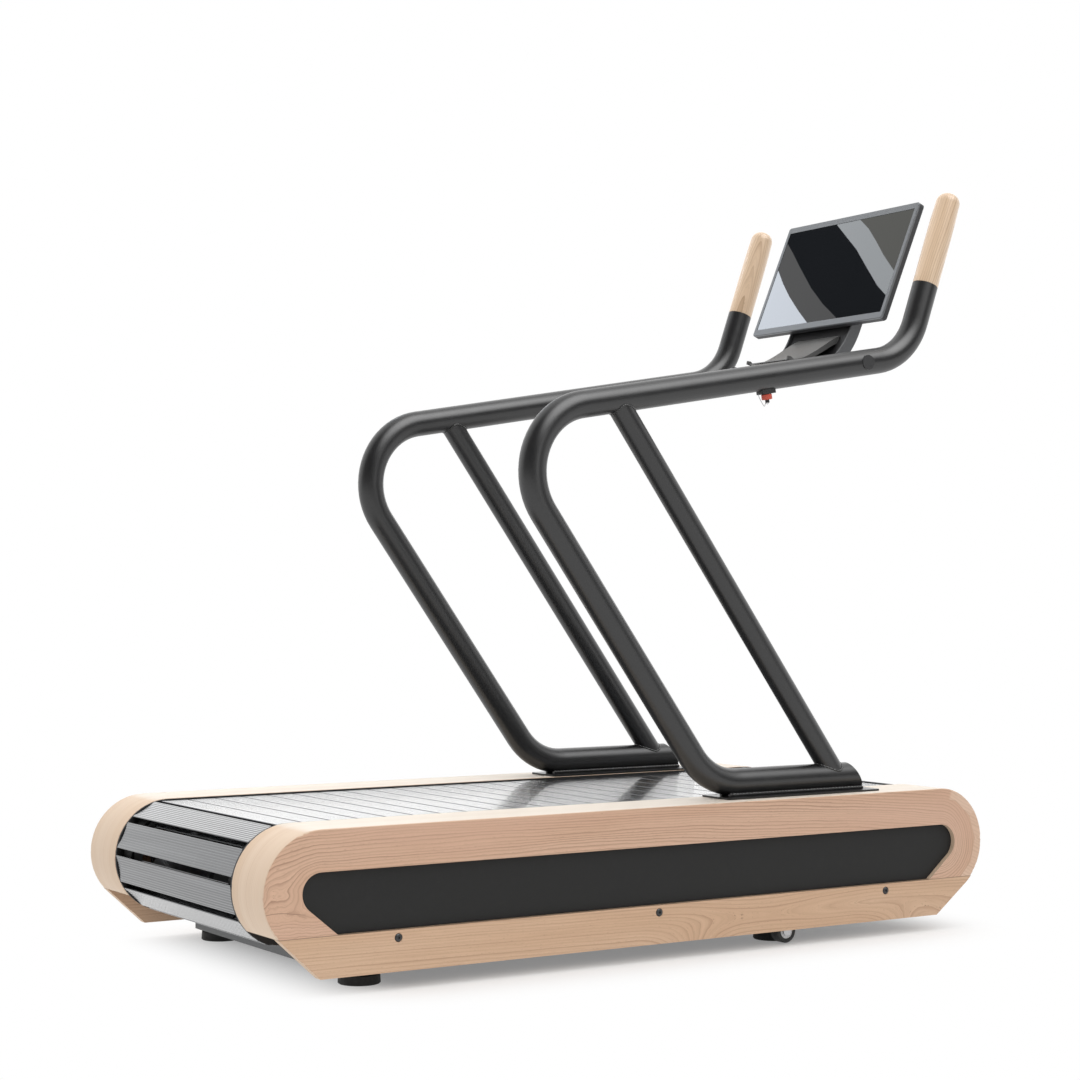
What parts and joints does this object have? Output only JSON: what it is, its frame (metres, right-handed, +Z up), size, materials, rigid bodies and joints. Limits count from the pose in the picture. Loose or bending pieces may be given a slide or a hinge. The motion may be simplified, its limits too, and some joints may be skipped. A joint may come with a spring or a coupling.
{
  "type": "slatted manual treadmill",
  "caption": "Manual treadmill with a wooden-sided base, slatted aluminium running belt, tubular handrails with wooden grips and a tilting display.",
  "frame": {"origin": "on the floor, under the centre of the whole machine's outline", "axes": "+X forward towards the display, +Y to the user's left, +Z up"},
  "size_m": [1.7602, 0.8428, 1.6374],
  "materials": {
    "ash_side": "clear matt lacquer, grain lengthwise",
    "ash_board": "clear matt lacquer, grain lengthwise",
    "ash_grip": "clear satin lacquer",
    "panel_black": "matt powder coat",
    "frame_black": "satin powder coat",
    "chassis_grey": "semi-matt powder coat",
    "slat_aluminium": "dark anodised, fine lengthwise grooves",
    "belt_rubber": "matt",
    "guard_plastic": "matt",
    "bright_steel": "ground",
    "black_screw": "black oxide",
    "pulley_plastic": "turned",
    "foot_rubber": "matt",
    "wheel_rubber": "matt",
    "wheel_hub": "light grey, satin",
    "bezel_grey": "satin anodised",
    "display_black": "fine texture",
    "display_glass": "high gloss",
    "bracket_grey": "satin powder coat",
    "tray_grey": "satin powder coat",
    "key_red": "satin",
    "key_black": "matt"
  },
  "bodies": {
    "chassis": {"side_band_left": "ash_side", "side_band_right": "ash_side", "lower_board_left": "ash_board", "lower_board_right": "ash_board", "side_panel_left": "panel_black", "side_panel_right": "panel_black", "board_screws": "black_screw", "panel_standoffs": "guard_plastic", "chassis_rails": "chassis_grey", "foot_beams": "chassis_grey", "cross_members": "chassis_grey", "bearing_rails": "chassis_grey", "roller_studs": "bright_steel", "axle_bearings": "bright_steel", "bearing_blocks": "chassis_grey", "slats_top": "slat_aluminium", "slats_ends": "slat_aluminium", "slats_bottom": "slat_aluminium", "slat_rivets": "bright_steel", "drive_belts": "belt_rubber", "edge_guards": "guard_plastic", "base_plates": "frame_black", "base_plate_screws": "black_screw", "handrail_left": "frame_black", "handrail_right": "frame_black", "front_struts": "frame_black", "crossbar": "frame_black", "crossbar_caps": "key_black", "grip_left": "ash_grip", "grip_right": "ash_grip", "display_bracket": "bracket_grey", "device_tray": "tray_grey", "safety_base": "key_black", "foot_lock_nuts": "bright_steel", "wheel_axles": "bright_steel", "wheel_brackets": "chassis_grey", "speed_sensor": "key_black"},
    "front_shaft": {"front_axle": "bright_steel", "front_pulleys": "pulley_plastic"},
    "rear_shaft": {"rear_axle": "bright_steel", "rear_pulleys": "pulley_plastic"},
    "roller_1": {"support_rollers_1": "bright_steel"},
    "roller_2": {"support_rollers_2": "bright_steel"},
    "roller_3": {"support_rollers_3": "bright_steel"},
    "roller_4": {"support_rollers_4": "bright_steel"},
    "wheel_left": {"wheel_tyre_left": "wheel_rubber", "wheel_hub_left": "wheel_hub"},
    "wheel_right": {"wheel_tyre_right": "wheel_rubber", "wheel_hub_right": "wheel_hub"},
    "display": {"display_bezel": "bezel_grey", "display_glass": "display_glass", "display_housing": "display_black", "display_hinge_plate": "bracket_grey", "display_hinge_pins": "black_screw"},
    "safety_pull": {"safety_key": "key_red", "safety_key_tip": "key_black"},
    "foot_rear_left": {"levelling_foot_rear_left": "foot_rubber"},
    "foot_rear_right": {"levelling_foot_rear_right": "foot_rubber"},
    "foot_front_left": {"levelling_foot_front_left": "foot_rubber"},
    "foot_front_right": {"levelling_foot_front_right": "foot_rubber"}
  },
  "joints": [
    {"name": "front_shaft_spin", "type": "hinge", "parent": "chassis", "child": "front_shaft", "pos_m": [0.75287, 0, 0.191], "axis": [0, 1, 0], "continuous": true},
    {"name": "rear_shaft_spin", "type": "hinge", "parent": "chassis", "child": "rear_shaft", "pos_m": [-0.76313, 0, 0.191], "axis": [0, 1, 0], "continuous": true},
    {"name": "roller_1_spin", "type": "hinge", "parent": "chassis", "child": "roller_1", "pos_m": [-0.45513, 0, 0.26], "axis": [0, 1, 0], "continuous": true},
    {"name": "roller_2_spin", "type": "hinge", "parent": "chassis", "child": "roller_2", "pos_m": [-0.15513, 0, 0.26], "axis": [0, 1, 0], "continuous": true},
    {"name": "roller_3_spin", "type": "hinge", "parent": "chassis", "child": "roller_3", "pos_m": [0.14488, 0, 0.26], "axis": [0, 1, 0], "continuous": true},
    {"name": "roller_4_spin", "type": "hinge", "parent": "chassis", "child": "roller_4", "pos_m": [0.44488, 0, 0.26], "axis": [0, 1, 0], "continuous": true},
    {"name": "wheel_left_spin", "type": "hinge", "parent": "chassis", "child": "wheel_left", "pos_m": [0.34087, 0.382, 0.028], "axis": [0, 1, 0], "continuous": true},
    {"name": "wheel_right_spin", "type": "hinge", "parent": "chassis", "child": "wheel_right", "pos_m": [0.34087, -0.382, 0.028], "axis": [0, 1, 0], "continuous": true},
    {"name": "display_tilt", "type": "hinge", "parent": "chassis", "child": "display", "pos_m": [0.80917, 0, 1.42571], "axis": [0, 1, 0], "range_deg": [0, 20]},
    {"name": "safety_key_pull", "type": "slide", "parent": "chassis", "child": "safety_pull", "axis": [0.1628, 0, -0.9867], "range_m": [0, 0.006], "stiffness_N_per_m": 300},
    {"name": "foot_rear_left_adjust", "type": "slide", "parent": "chassis", "child": "foot_rear_left", "axis": [0, 0, -1], "range_m": [0, 0.01], "stiffness_N_per_m": 3000},
    {"name": "foot_rear_right_adjust", "type": "slide", "parent": "chassis", "child": "foot_rear_right", "axis": [0, 0, -1], "range_m": [0, 0.01], "stiffness_N_per_m": 3000},
    {"name": "foot_front_left_adjust", "type": "slide", "parent": "chassis", "child": "foot_front_left", "axis": [0, 0, -1], "range_m": [0, 0.01], "stiffness_N_per_m": 3000},
    {"name": "foot_front_right_adjust", "type": "slide", "parent": "chassis", "child": "foot_front_right", "axis": [0, 0, -1], "range_m": [0, 0.01], "stiffness_N_per_m": 3000}
  ],
  "couplings": [
    {"joint": "rear_shaft_spin", "follows": "front_shaft_spin", "ratio": 1},
    {"joint": "roller_1_spin", "follows": "front_shaft_spin", "ratio": 3.6609},
    {"joint": "roller_2_spin", "follows": "front_shaft_spin", "ratio": 3.6609},
    {"joint": "roller_3_spin", "follows": "front_shaft_spin", "ratio": 3.6609},
    {"joint": "roller_4_spin", "follows": "front_shaft_spin", "ratio": 3.6609}
  ]
}
